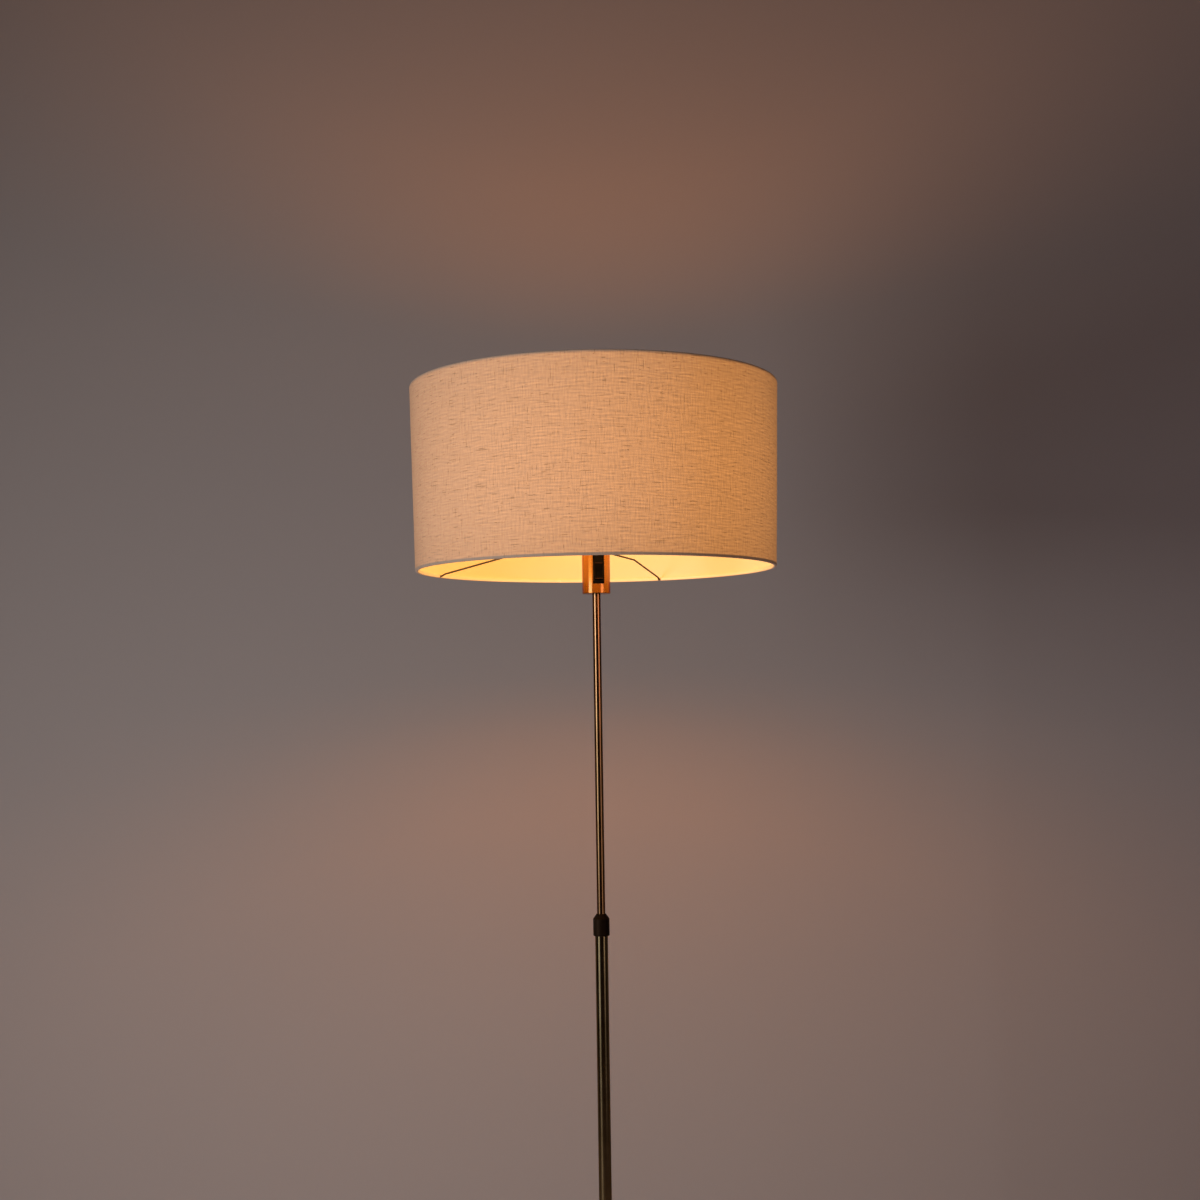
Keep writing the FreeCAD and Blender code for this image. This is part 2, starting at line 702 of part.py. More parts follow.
doc.recompute()
bad = [o.Label for o in doc.Objects if "Invalid" in o.State or "Error" in o.State]
if bad:
    raise RuntimeError("failed: " + ", ".join(bad))
loose = [o.Label for o in doc.Objects if o.TypeId == "Sketcher::SketchObject" and not o.FullyConstrained]
if loose:
    raise RuntimeError("not fully constrained: " + ", ".join(loose))
for label, b in bodies.items():
    if b.Shape.isNull() or not b.Shape.isValid() or not b.Shape.Solids:
        raise RuntimeError("bad shape: " + label)

os.makedirs("parts", exist_ok=True)
for label, b in bodies.items():
    b.Shape.exportStep("parts/%s.step" % label)
    box = b.Shape.BoundBox
    print("%-18s solids %d  volume %10.1f  x %8.2f %8.2f  y %8.2f %8.2f  z %8.2f %8.2f" % (
        label, len(b.Shape.Solids), b.Shape.Volume, box.XMin, box.XMax, box.YMin, box.YMax, box.ZMin, box.ZMax))
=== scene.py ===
"""Looks of the telescopic floor lamp: a drum shade of slubbed linen over a smooth liner, a brushed bronze holder and
tube, a black clamp collar, a darker lower tube and a round weighted foot. Everything is in metres, z up, and the
mast stands on the z axis with the rocker switch towards -y."""

import json
import math

import bmesh
import bpy
import numpy as np
from mathutils import Matrix, Vector, noise

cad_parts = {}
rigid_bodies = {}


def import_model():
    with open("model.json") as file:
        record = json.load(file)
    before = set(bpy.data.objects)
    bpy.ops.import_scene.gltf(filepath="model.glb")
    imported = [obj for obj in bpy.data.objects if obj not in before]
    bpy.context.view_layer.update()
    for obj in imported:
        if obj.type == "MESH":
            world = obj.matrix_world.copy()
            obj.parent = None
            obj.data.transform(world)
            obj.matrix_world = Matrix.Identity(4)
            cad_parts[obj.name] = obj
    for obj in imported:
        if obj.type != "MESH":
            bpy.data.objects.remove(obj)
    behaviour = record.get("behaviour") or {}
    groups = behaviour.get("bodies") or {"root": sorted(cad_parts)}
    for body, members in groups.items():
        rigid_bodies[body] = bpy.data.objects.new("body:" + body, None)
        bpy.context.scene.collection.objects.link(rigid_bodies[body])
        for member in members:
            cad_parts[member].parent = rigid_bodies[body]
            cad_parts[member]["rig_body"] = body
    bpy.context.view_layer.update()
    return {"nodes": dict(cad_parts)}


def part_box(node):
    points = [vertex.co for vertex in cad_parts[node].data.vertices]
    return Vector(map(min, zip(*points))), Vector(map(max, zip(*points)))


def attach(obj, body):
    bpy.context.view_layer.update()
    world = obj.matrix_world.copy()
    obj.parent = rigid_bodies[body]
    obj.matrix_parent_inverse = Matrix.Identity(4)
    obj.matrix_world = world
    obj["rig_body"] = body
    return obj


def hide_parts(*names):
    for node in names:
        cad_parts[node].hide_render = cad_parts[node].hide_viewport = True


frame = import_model()
NODES = frame["nodes"]
SCENE = bpy.context.scene
SCENE.view_settings.view_transform = "Standard"
SCENE.view_settings.look = "None"

# ---------------------------------------------------------------------------------------------------------- measures
SHADE_LOW, SHADE_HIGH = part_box("shade_fabric")
Z0, Z1 = SHADE_LOW.z, SHADE_HIGH.z  # the shade's lower and upper edge
R1 = SHADE_HIGH.x  # outer radius at the upper edge
R0 = R1 - 0.006  # and at the lower edge
CLOTH = 0.0006  # thickness of the linen
BULB = Vector((0, 0, 1.493))  # middle of the opal globe
ARMS = [math.radians(a) for a in (56, 146, 236, 326)]  # the four wires, from +x towards +y
FRONT = Vector((-0.4031, -2.1185, 0)).normalized()  # from the mast towards the picture's viewpoint


# -------------------------------------------------------------------------------------------------------- node trees
class Tree:
    """A material and short calls for the nodes that these materials use."""

    def __init__(self, name):
        self.mat = bpy.data.materials.new(name)
        self.mat.use_nodes = True
        self.nt = self.mat.node_tree
        self.nt.nodes.clear()
        self.out = self.node("ShaderNodeOutputMaterial")
        self.bsdf = self.node("ShaderNodeBsdfPrincipled")
        self.join(self.bsdf.outputs["BSDF"], self.out.inputs["Surface"])

    def node(self, kind, **settings):
        made = self.nt.nodes.new(kind)
        for key, value in settings.items():
            setattr(made, key, value)
        return made

    def join(self, a, b):
        self.nt.links.new(a, b)

    def feed(self, socket, value):
        if isinstance(value, bpy.types.NodeSocket):
            self.join(value, socket)
        elif isinstance(value, (tuple, list)) and len(value) == 3 and len(socket.default_value) == 4:
            socket.default_value = (*value, 1.0)
        else:
            socket.default_value = value

    def set(self, **values):
        for key, value in values.items():
            self.feed(self.bsdf.inputs[key.replace("_", " ")], value)
        return self

    def math(self, operation, *values, clamp=False):
        n = self.node("ShaderNodeMath", operation=operation, use_clamp=clamp)
        for socket, value in zip(n.inputs, values):
            self.feed(socket, value)
        return n.outputs[0]

    def add(self, *values):
        total = values[0]
        for value in values[1:]:
            total = self.math("ADD", total, value)
        return total

    def mul(self, *values):
        total = values[0]
        for value in values[1:]:
            total = self.math("MULTIPLY", total, value)
        return total

    def place(self):
        return self.node("ShaderNodeTexCoord").outputs["Object"]

    def split(self, vector):
        n = self.node("ShaderNodeSeparateXYZ")
        self.feed(n.inputs[0], vector)
        return n.outputs[0], n.outputs[1], n.outputs[2]

    def vec(self, x, y, z=0.0):
        n = self.node("ShaderNodeCombineXYZ")
        for socket, value in zip(n.inputs, (x, y, z)):
            self.feed(socket, value)
        return n.outputs[0]

    def noise(self, vector, scale=1.0, detail=2.0, rough=0.5):
        n = self.node("ShaderNodeTexNoise")
        self.feed(n.inputs["Vector"], vector)
        self.feed(n.inputs["Scale"], scale)
        self.feed(n.inputs["Detail"], detail)
        self.feed(n.inputs["Roughness"], rough)
        return n.outputs["Fac"]

    def around(self, value, spread):
        """A noise value moved to vary about nought by up to about half of spread."""
        return self.math("MULTIPLY", self.math("SUBTRACT", value, 0.5), spread)

    def ramp(self, value, low, high, a=0.0, b=1.0):
        n = self.node("ShaderNodeMapRange", interpolation_type="SMOOTHSTEP", clamp=True)
        for socket, v in zip(n.inputs, (value, low, high, a, b)):
            self.feed(socket, v)
        return n.outputs[0]

    def mix(self, share, a, b, blend="MIX"):
        n = self.node("ShaderNodeMix", data_type="RGBA", blend_type=blend, clamp_factor=True)
        self.feed(n.inputs[0], share)
        self.feed(n.inputs[6], a)
        self.feed(n.inputs[7], b)
        return n.outputs[2]

    def bright(self, colour, value):
        """A colour times a number."""
        n = self.node("ShaderNodeVectorMath", operation="SCALE")
        self.feed(n.inputs[0], colour)
        self.feed(n.inputs["Scale"], value)
        return n.outputs[0]

    def bump(self, height, strength, distance, normal=None):
        n = self.node("ShaderNodeBump")
        n.inputs["Strength"].default_value = strength
        n.inputs["Distance"].default_value = distance
        self.feed(n.inputs["Height"], height)
        if normal is not None:
            self.feed(n.inputs["Normal"], normal)
        return n.outputs[0]

    def flecks(self, u, v, cell, half, chance, seed):
        """Lens shapes of half-size half, at most one to a cell of that size: how much of one is here, from 0 to 1."""
        us, vs = self.math("DIVIDE", u, cell[0]), self.math("DIVIDE", v, cell[1])
        p = self.vec(self.add(us, seed), self.add(vs, seed * 1.7))
        n = self.node("ShaderNodeTexVoronoi", voronoi_dimensions="2D", feature="F1")
        self.feed(n.inputs["Vector"], p)
        n.inputs["Scale"].default_value = 1.0
        px, py, _ = self.split(p)
        cx, cy, _ = self.split(n.outputs["Position"])
        there, longer, stronger = self.split(n.outputs["Color"])
        size = self.add(self.mul(longer, 0.7), 0.35)
        long_side, short_side = (size, 1.0) if half[0] > half[1] else (1.0, size)
        dx = self.math("DIVIDE", self.mul(self.math("SUBTRACT", px, cx), cell[0] / half[0]), long_side)
        dy = self.math("DIVIDE", self.mul(self.math("SUBTRACT", py, cy), cell[1] / half[1]), short_side)
        far = self.add(self.mul(dx, dx), self.mul(dy, dy))
        inside = self.ramp(far, 1.0, 0.25)
        shown = self.math("LESS_THAN", there, chance)
        return self.mul(inside, shown, self.add(self.mul(stronger, 0.6), 0.4))


def no_lamp(mat):
    """The glow of this material is seen, but it isn't sampled as a lamp: the lamps in the bulb do that."""
    mat.cycles.emission_sampling = "NONE"
    return mat


# --------------------------------------------------------------------------------------------------------- materials
def linen():
    """Plain woven linen whose light from the bulb behind is painted on as glow: uneven threads both ways, thick slubs,
    a few knots.
    """
    t = Tree("linen")
    x, y, z = t.split(t.place())
    turn = t.math("ARCTAN2", x, t.mul(y, -1.0))  # nought at the front, half a turn at the back seam
    u0, v0 = t.mul(turn, 247.0), t.mul(z, 1000.0)  # millimetres along and up the cloth
    drift = t.vec(t.mul(u0, 1 / 70), t.mul(v0, 1 / 70))
    u = t.add(u0, t.around(t.noise(drift, 1.0, 2.0), 3.0))
    v = t.add(v0, t.around(t.noise(t.vec(t.mul(u0, 1 / 55), t.mul(v0, 1 / 90), 5.2), 1.0, 2.0), 3.0))

    # Each thread against its neighbour, so that the ground stays even.
    weft_fine = t.math("SUBTRACT", t.noise(t.vec(t.mul(u, 1 / 21), t.mul(v, 1 / 1.5), 3.1), 1.0, 1.0),
                       t.noise(t.vec(t.mul(u, 1 / 21), t.mul(t.add(v, 2.2), 1 / 1.5), 3.1), 1.0, 1.0))
    warp_fine = t.math("SUBTRACT", t.noise(t.vec(t.mul(u, 1 / 1.35), t.mul(v, 1 / 15), 11.3), 1.0, 1.0),
                       t.noise(t.vec(t.mul(t.add(u, 2.0), 1 / 1.35), t.mul(v, 1 / 15), 11.3), 1.0, 1.0))
    weft_wide = t.noise(t.vec(t.mul(u, 1 / 30), t.mul(v, 1 / 2.5), 7.7), 1.0, 1.0)
    warp_wide = t.noise(t.vec(t.mul(u, 1 / 2.4), t.mul(v, 1 / 22), 17.9), 1.0, 1.0)
    weft_dash = t.ramp(t.noise(t.vec(t.mul(u, 1 / 17), t.mul(v, 1 / 1.4), 61.0), 1.0, 1.0), 0.36, 0.24)
    warp_dash = t.ramp(t.noise(t.vec(t.mul(u, 1 / 1.4), t.mul(v, 1 / 14), 71.0), 1.0, 1.0), 0.34, 0.23)
    cloud = t.noise(t.vec(t.mul(u, 1 / 30), t.mul(v, 1 / 15), 23.0), 1.0, 2.0)
    threads = t.add(t.mul(weft_fine, 0.48), t.mul(warp_fine, 0.31), t.around(weft_wide, 0.13),
                    t.around(warp_wide, 0.06), t.around(cloud, 0.02))

    weft_long = t.flecks(u, v, (46.0, 5.6), (12.0, 0.55), 0.26, 3.37)
    weft_short = t.flecks(u, v, (23.0, 4.6), (6.6, 0.52), 0.28, 11.71)
    weft_tiny = t.flecks(u, v, (11.0, 3.9), (3.0, 0.50), 0.12, 19.13)
    warp_long = t.flecks(u, v, (6.0, 34.0), (0.50, 8.0), 0.22, 27.59)
    warp_short = t.flecks(u, v, (5.4, 18.0), (0.48, 4.6), 0.20, 35.91)
    knots = t.flecks(u, v, (21.0, 19.0), (1.0, 0.8), 0.07, 43.27)
    pale = t.flecks(u, v, (36.0, 6.4), (11.0, 0.6), 0.30, 51.83)
    slubs = t.math("MAXIMUM", t.math("MAXIMUM", weft_long, weft_short),
                   t.math("MAXIMUM", t.mul(weft_tiny, 0.9), t.math("MAXIMUM", t.mul(warp_long, 0.9), t.mul(warp_short, 0.85))))
    slubs = t.mul(slubs, t.ramp(cloud, 0.25, 0.65, 0.85, 1.0))
    dashes = t.math("MAXIMUM", t.mul(weft_dash, 0.40), t.mul(warp_dash, 0.36))
    dark = t.math("MAXIMUM", t.math("MAXIMUM", slubs, dashes), t.mul(knots, 1.25), clamp=True)

    # Cloth that lies double over the rings lets no light through.
    hem_low, hem_high = t.ramp(z, Z0 + 0.0026, Z0 + 0.0046), t.ramp(z, Z1 - 0.0004, Z1 - 0.0050)
    single = t.mul(t.add(0.10, t.mul(hem_low, 0.90)), hem_high)
    # The turned-in legs of the hems are inside the shade, in the bulb's light; there the cloth is paler and carries a
    # painted glow of that light.
    r = t.math("SQRT", t.add(t.mul(x, x), t.mul(y, y)))
    depth = t.math("SUBTRACT", t.add(R0, t.mul(t.math("SUBTRACT", z, Z0), (R1 - R0) / (Z1 - Z0))), r)
    turned_in = t.ramp(depth, 0.0032, 0.0044)
    # The back seam is double too.
    seam = t.ramp(t.math("ABSOLUTE", t.math("SUBTRACT", t.math("ABSOLUTE", turn), math.pi)), 0.0, 0.004, 0.0, 1.0)

    colour = t.mix(t.ramp(cloud, 0.3, 0.7), (0.67, 0.535, 0.425), (0.69, 0.553, 0.440))
    colour = t.bright(colour, t.add(1.0, t.mul(threads, 0.40)))
    # Painted shade: the cloth is a little darker over its lowest 60 mm.
    colour = t.bright(colour, t.add(0.92, t.mul(t.ramp(z, Z0, Z0 + 0.06), 0.08)))
    colour = t.mix(t.mul(pale, 0.14), colour, (0.84, 0.73, 0.60))
    colour = t.mix(t.mul(dark, 0.75), colour, (0.36, 0.225, 0.12))
    colour = t.mix(t.mul(t.math("SUBTRACT", 1.0, hem_low), 0.5), colour, (0.70, 0.60, 0.50))
    colour = t.mix(turned_in, colour, (0.86, 0.80, 0.68))

    # Painted light: the bulb's light coming through the cloth is painted on as glow, fainter at dark slubs and where
    # the cloth lies double.
    through = t.add(1.03, t.mul(threads, 1.5))
    through = t.mul(through, t.math("SUBTRACT", 1.0, t.mul(dark, 0.55)), t.add(1.0, t.mul(pale, 0.06)), single)
    # Painted light: the glow fades above and below the bulb's height.
    rise = t.mul(t.math("SUBTRACT", z, 1.522), 1 / 0.125)
    through = t.mul(through, t.math("SUBTRACT", 1.0, t.mul(rise, rise, 0.14)))
    # Painted light: the glow is brighter towards one side of the shade.
    side_glow = t.math("COSINE", t.math("SUBTRACT", turn, 0.60))
    through = t.mul(through, t.add(0.80, t.mul(side_glow, 0.20)), t.add(0.78, t.mul(seam, 0.22)))
    glow = t.mix(turned_in, t.bright((0.535, 0.205, 0.048), through), (0.95, 0.42, 0.11))

    wave = t.mul(t.math("SINE", t.mul(u, 2 * math.pi / 1.05)), t.math("SINE", t.mul(v, 2 * math.pi / 0.98)))
    height = t.add(t.mul(threads, 1.6), t.mul(wave, 0.25), t.mul(dark, 0.9))
    t.set(Base_Color=colour, Roughness=0.92, Normal=t.bump(height, 0.55, 0.00035))
    t.bsdf.inputs["Specular IOR Level"].default_value = 0.15
    t.bsdf.inputs["Sheen Weight"].default_value = 0.9
    t.bsdf.inputs["Sheen Roughness"].default_value = 0.5
    t.bsdf.inputs["Sheen Tint"].default_value = (0.85, 0.72, 0.60, 1)
    t.feed(t.bsdf.inputs["Emission Color"], glow)
    t.bsdf.inputs["Emission Strength"].default_value = 1.0
    return no_lamp(t.mat)


def liner():
    """Smooth warm white film inside the linen; its brightness in the bulb's light is painted on as glow."""
    t = Tree("liner")
    x, y, z = t.split(t.place())
    grain = t.noise(t.vec(t.mul(x, 900.0), t.mul(y, 900.0), t.mul(z, 900.0)), 1.0, 2.0)
    cloud = t.noise(t.vec(t.mul(x, 9.0), t.mul(y, 9.0), t.mul(z, 14.0)), 1.0, 2.0)
    colour = t.mix(cloud, (0.86, 0.79, 0.66), (0.92, 0.86, 0.74))
    # Painted light: the glow is strongest at the bulb's height and grows towards -x.
    rise = t.math("ABSOLUTE", t.math("SUBTRACT", z, 1.493))
    glow = t.bright((1.08, 0.470, 0.084), t.mul(t.add(1.0, t.mul(x, -0.35)), t.ramp(rise, 0.0, 0.17, 0.62, 0.50), t.add(0.97, t.mul(cloud, 0.06))))
    t.set(Base_Color=colour, Roughness=t.add(0.42, t.around(grain, 0.1)), Normal=t.bump(grain, 0.05, 0.0001))
    t.feed(t.bsdf.inputs["Emission Color"], glow)
    t.bsdf.inputs["Emission Strength"].default_value = 1.0
    return no_lamp(t.mat)


def turned(name, light, deep, rough, coat=0.0, lines=2600.0, anisotropic=0.55, metallic=1.0, mark=0.10, seed=0.0, rim=None, bumps=0.10):
    """Metal with the fine rings that grinding and polishing leave round it, a little uneven in shade."""
    t = Tree(name)
    here = t.place()
    x, y, z = t.split(here)
    r = t.math("SQRT", t.add(t.mul(x, x), t.mul(y, y)))
    turn = t.math("ARCTAN2", x, t.mul(y, -1.0))
    rings = t.noise(t.vec(t.mul(r, lines), t.mul(turn, 1.6), t.add(t.mul(z, lines), seed)), 1.0, 3.0, 0.6)
    wide = t.noise(t.vec(t.mul(r, lines * 0.12), t.mul(turn, 0.8), t.add(t.mul(z, lines * 0.12), seed)), 1.0, 2.0)
    smudge = t.noise(here, 22.0, 3.0, 0.6)
    colour = t.mix(t.ramp(smudge, 0.32, 0.68), deep, light)
    colour = t.bright(colour, t.add(1.0, t.around(rings, 0.22), t.around(wide, 0.10)))
    gloss = t.add(rough, t.around(rings, mark), t.around(smudge, mark * 0.8))
    t.set(Base_Color=colour, Metallic=metallic, Roughness=gloss, Normal=t.bump(rings, bumps, 0.00006))
    t.bsdf.inputs["Anisotropic"].default_value = anisotropic
    t.bsdf.inputs["Anisotropic Rotation"].default_value = 0.25
    tangent = t.node("ShaderNodeTangent", direction_type="RADIAL", axis="Z")
    t.join(tangent.outputs[0], t.bsdf.inputs["Tangent"])
    if rim:
        t.bsdf.inputs["Specular Tint"].default_value = (*rim, 1)
    if coat:
        t.bsdf.inputs["Coat Weight"].default_value = coat
        t.bsdf.inputs["Coat Roughness"].default_value = 0.12
    return t.mat


def plastic(name, dark, light, rough, grain=1400.0, depth=0.00004, strength=0.25, coat=0.0, specular=0.5, tint=None):
    """Moulded plastic: a fine spark-eroded grain, and faint differences of gloss where it has been handled."""
    t = Tree(name)
    here = t.place()
    fine = t.noise(here, grain, 2.0, 0.7)
    broad = t.noise(here, 45.0, 3.0, 0.6)
    colour = t.mix(t.ramp(broad, 0.35, 0.7), dark, light)
    t.set(Base_Color=colour, Roughness=t.add(rough, t.around(fine, 0.12), t.around(broad, 0.12)),
          Normal=t.bump(fine, strength, depth))
    t.bsdf.inputs["Specular IOR Level"].default_value = specular
    if tint:
        t.bsdf.inputs["Specular Tint"].default_value = (*tint, 1)
    if coat:
        t.bsdf.inputs["Coat Weight"].default_value = coat
        t.bsdf.inputs["Coat Roughness"].default_value = 0.1
    return t.mat


def rocker_gloss():
    """Black plastic with a painted highlight, pale and warm, along the edges of its face."""
    t = Tree("rocker_gloss")
    here = t.place()
    x, y, z = t.split(here)
    fine = t.noise(here, 1400.0, 2.0, 0.7)
    # Painted highlight: a paler warm line along the edges of the face, broken up by noise.
    across = t.ramp(t.math("ABSOLUTE", x), 0.0051, 0.0057)
    along = t.ramp(t.math("ABSOLUTE", t.math("SUBTRACT", z, 1.39824)), 0.0098, 0.0104)
    edge_highlight = t.mul(t.math("MAXIMUM", across, along), t.ramp(t.noise(here, 260.0, 3.0), 0.25, 0.6, 0.6, 1.0))
    t.set(Base_Color=t.mix(edge_highlight, (0.004, 0.003, 0.003), (0.15, 0.060, 0.028)), Roughness=t.add(0.30, t.around(fine, 0.12)),
          Normal=t.bump(fine, 0.08, 0.00004))
    t.bsdf.inputs["Specular IOR Level"].default_value = 0.06
    return t.mat


def felt():
    t = Tree("felt")
    here = t.place()
    x, y, z = t.split(here)
    fibres = t.noise(here, 700.0, 4.0, 0.75)
    tufts = t.noise(here, 130.0, 3.0, 0.6)
    lint = t.flecks(t.mul(x, 1000.0), t.mul(y, 1000.0), (7.0, 9.0), (1.6, 0.2), 0.18, 5.1)
    colour = t.mix(fibres, (0.018, 0.018, 0.02), (0.075, 0.073, 0.072))
    colour = t.mix(t.mul(lint, 0.5), colour, (0.28, 0.27, 0.26))
    t.set(Base_Color=colour, Roughness=0.96, Normal=t.bump(t.add(fibres, tufts), 0.8, 0.0004))
    t.bsdf.inputs["Sheen Weight"].default_value = 0.6
    t.bsdf.inputs["Sheen Roughness"].default_value = 0.5
    return t.mat


def cast_iron():
    t = Tree("cast_iron")
    here = t.place()
    sand = t.noise(here, 520.0, 4.0, 0.7)
    pits = t.node("ShaderNodeTexVoronoi", feature="F1")
    t.feed(pits.inputs["Vector"], here)
    pits.inputs["Scale"].default_value = 260.0
    pit = t.ramp(pits.outputs["Distance"], 0.05, 0.35)
    patch = t.noise(here, 24.0, 4.0, 0.65)
    colour = t.mix(t.ramp(patch, 0.35, 0.65), (0.028, 0.028, 0.03), (0.07, 0.066, 0.062))
    rust = t.ramp(t.noise(here, 60.0, 4.0, 0.7), 0.63, 0.72)
    colour = t.mix(t.mul(rust, 0.5), colour, (0.16, 0.065, 0.03))
    t.set(Base_Color=colour, Metallic=0.0, Roughness=t.add(0.62, t.around(sand, 0.25)),
          Normal=t.bump(t.add(t.mul(sand, 0.7), t.mul(pit, 0.6)), 0.7, 0.0005))
    return t.mat


def opal():
    """Opal glass of a lamp that is on."""
    t = Tree("opal")
    here = t.place()
    x, y, z = t.split(here)
    mist = t.noise(here, 120.0, 3.0, 0.6)
    lower = t.ramp(z, 1.468, 1.500, 0.72, 1.0)
    glow = t.bright((1.0, 0.66, 0.27), t.mul(lower, t.add(0.97, t.mul(mist, 0.06))))
    t.set(Base_Color=t.mix(mist, (0.86, 0.84, 0.79), (0.92, 0.90, 0.86)), Roughness=t.add(0.22, t.around(mist, 0.08)))
    t.bsdf.inputs["Coat Weight"].default_value = 0.4
    t.bsdf.inputs["Coat Roughness"].default_value = 0.05
    t.feed(t.bsdf.inputs["Emission Color"], glow)
    t.bsdf.inputs["Emission Strength"].default_value = 2.4
    return no_lamp(t.mat)


def paint(name, colour, rough=0.85):
    """Matt wall paint on the stage. It shows from its front only, so the object can be looked at from every side."""
    t = Tree(name)
    here = t.place()
    roller = t.noise(here, 160.0, 2.0, 0.6)
    broad = t.noise(here, 1.1, 3.0, 0.5)
    tone = t.bright(colour, t.add(1.0, t.around(broad, 0.05), t.around(roller, 0.02)))
    t.set(Base_Color=tone, Roughness=rough, Normal=t.bump(roller, 0.08, 0.0004))
    t.bsdf.inputs["Specular IOR Level"].default_value = 0.2
    clear = t.node("ShaderNodeBsdfTransparent")
    side = t.node("ShaderNodeNewGeometry")
    both = t.node("ShaderNodeMixShader")
    t.join(side.outputs["Backfacing"], both.inputs[0])
    t.join(t.bsdf.outputs[0], both.inputs[1])
    t.join(clear.outputs[0], both.inputs[2])
    t.join(both.outputs[0], t.out.inputs["Surface"])
    return t.mat


M = {
    "linen": linen(),
    "liner": liner(),
    "bronze": turned("bronze", (0.38, 0.205, 0.092), (0.31, 0.160, 0.070), 0.15, coat=0.05, anisotropic=0.8, mark=0.05, bumps=0.03, rim=(0.22, 0.10, 0.04)),
    "copper": turned("copper", (0.70, 0.280, 0.040), (0.62, 0.238, 0.030), 0.26, coat=0.8, anisotropic=0.92, mark=0.06, bumps=0.04, rim=(0.34, 0.14, 0.03), seed=1.0),
    "bronze_dark": turned("bronze_dark", (0.36, 0.280, 0.150), (0.29, 0.222, 0.112), 0.15, anisotropic=0.8, mark=0.05, bumps=0.03, rim=(0.14, 0.08, 0.04), seed=4.0),
    "bronze_wire": turned("bronze_wire", (0.15, 0.095, 0.045), (0.11, 0.068, 0.032), 0.38, lines=900.0, anisotropic=0.0, seed=9.0),
    "black_plastic": plastic("black_plastic", (0.010, 0.007, 0.006), (0.016, 0.012, 0.010), 0.46, specular=0.12),
    "black_gloss": plastic("black_gloss", (0.005, 0.004, 0.004), (0.008, 0.007, 0.007), 0.30, strength=0.08, specular=0.06),
    "rocker_gloss": rocker_gloss(),
    "black_collar": plastic("black_collar", (0.012, 0.007, 0.004), (0.018, 0.011, 0.006), 0.50, grain=1100.0, strength=0.3, specular=0.10, tint=(1.0, 0.66, 0.42)),
    "zinc": turned("zinc", (0.62, 0.63, 0.66), (0.48, 0.49, 0.52), 0.34, lines=700.0, anisotropic=0.1, seed=2.0),
    "brass": turned("brass", (0.78, 0.56, 0.25), (0.66, 0.45, 0.19), 0.26, lines=3200.0, seed=3.0),
    "nylon": plastic("nylon", (0.74, 0.72, 0.66), (0.82, 0.80, 0.74), 0.45, strength=0.12),
    "white_plastic": plastic("white_plastic", (0.80, 0.80, 0.77), (0.86, 0.86, 0.84), 0.34, strength=0.1),
    "aluminium": turned("aluminium", (0.82, 0.83, 0.84), (0.70, 0.71, 0.72), 0.36, lines=1200.0, anisotropic=0.2, seed=6.0),
    "nickel": turned("nickel", (0.70, 0.67, 0.62), (0.58, 0.55, 0.50), 0.18, lines=1500.0, anisotropic=0.2, seed=7.0),
    "felt": felt(),
    "cast_iron": cast_iron(),
    "opal": opal(),
}

WEARS = {
    "base_pad": "felt", "base_weight": "cast_iron", "base_cover": "bronze", "cord_gland": "black_plastic",
    "base_nipple": "zinc", "base_washer": "zinc", "base_nut": "zinc", "foot_insert": "zinc", "lower_tube": "bronze_dark",
    "top_ferrule": "brass", "collet": "nylon", "clamp_collar": "black_collar", "guide_bush": "nylon",
    "upper_tube": "bronze", "stop_ring_lower": "zinc", "stop_ring_upper": "zinc", "tube_nipple": "zinc",
    "holder_cup": "copper", "cup_nut": "zinc", "holder_base": "black_plastic", "holder_lock_screw": "zinc",
    "terminal_screws": "brass", "holder_skirt": "black_plastic", "screw_shell": "nickel", "centre_contact": "brass",
    "switch_housing": "black_plastic", "rocker": "rocker_gloss", "shade_ring": "black_plastic",
    "bulb_globe": "opal", "bulb_collar": "white_plastic", "led_board": "aluminium", "bulb_cap": "nickel",
    "bulb_insulator": "black_gloss", "bulb_contact": "nickel", "shade_liner": "liner", "top_ring": "bronze_wire",
    "bottom_ring": "bronze_wire", "spider_hub": "bronze_wire", "spider_arm_1": "bronze_wire",
    "spider_arm_2": "bronze_wire", "spider_arm_3": "bronze_wire", "spider_arm_4": "bronze_wire", "shade_fabric": "linen",
}
for node, obj in NODES.items():
    mat = M[WEARS[node]]
    if not obj.data.materials:
        obj.data.materials.append(mat)
    for i in range(len(obj.data.materials)):
        obj.data.materials[i] = mat


# -------------------------------------------------------------------------------------------------------------- mesh
def mesh_object(name, verts, faces, mat, smooth=True):
    me = bpy.data.meshes.new(name)
    me.from_pydata([tuple(v) for v in verts], [], faces)
    me.validate()
    me.update()
    for p in me.polygons:
        p.use_smooth = smooth
    me.materials.append(mat)
    ob = bpy.data.objects.new(name, me)
    SCENE.collection.objects.link(ob)
    return ob


def arc(cr, cz, radius, a0, a1, steps):
    """Points (r, z) round a centre, with the angles in degrees from +r towards +z."""
    return [(cr + radius * math.cos(math.radians(a0 + (a1 - a0) * i / steps)),
             cz + radius * math.sin(math.radians(a0 + (a1 - a0) * i / steps))) for i in range(steps + 1)]


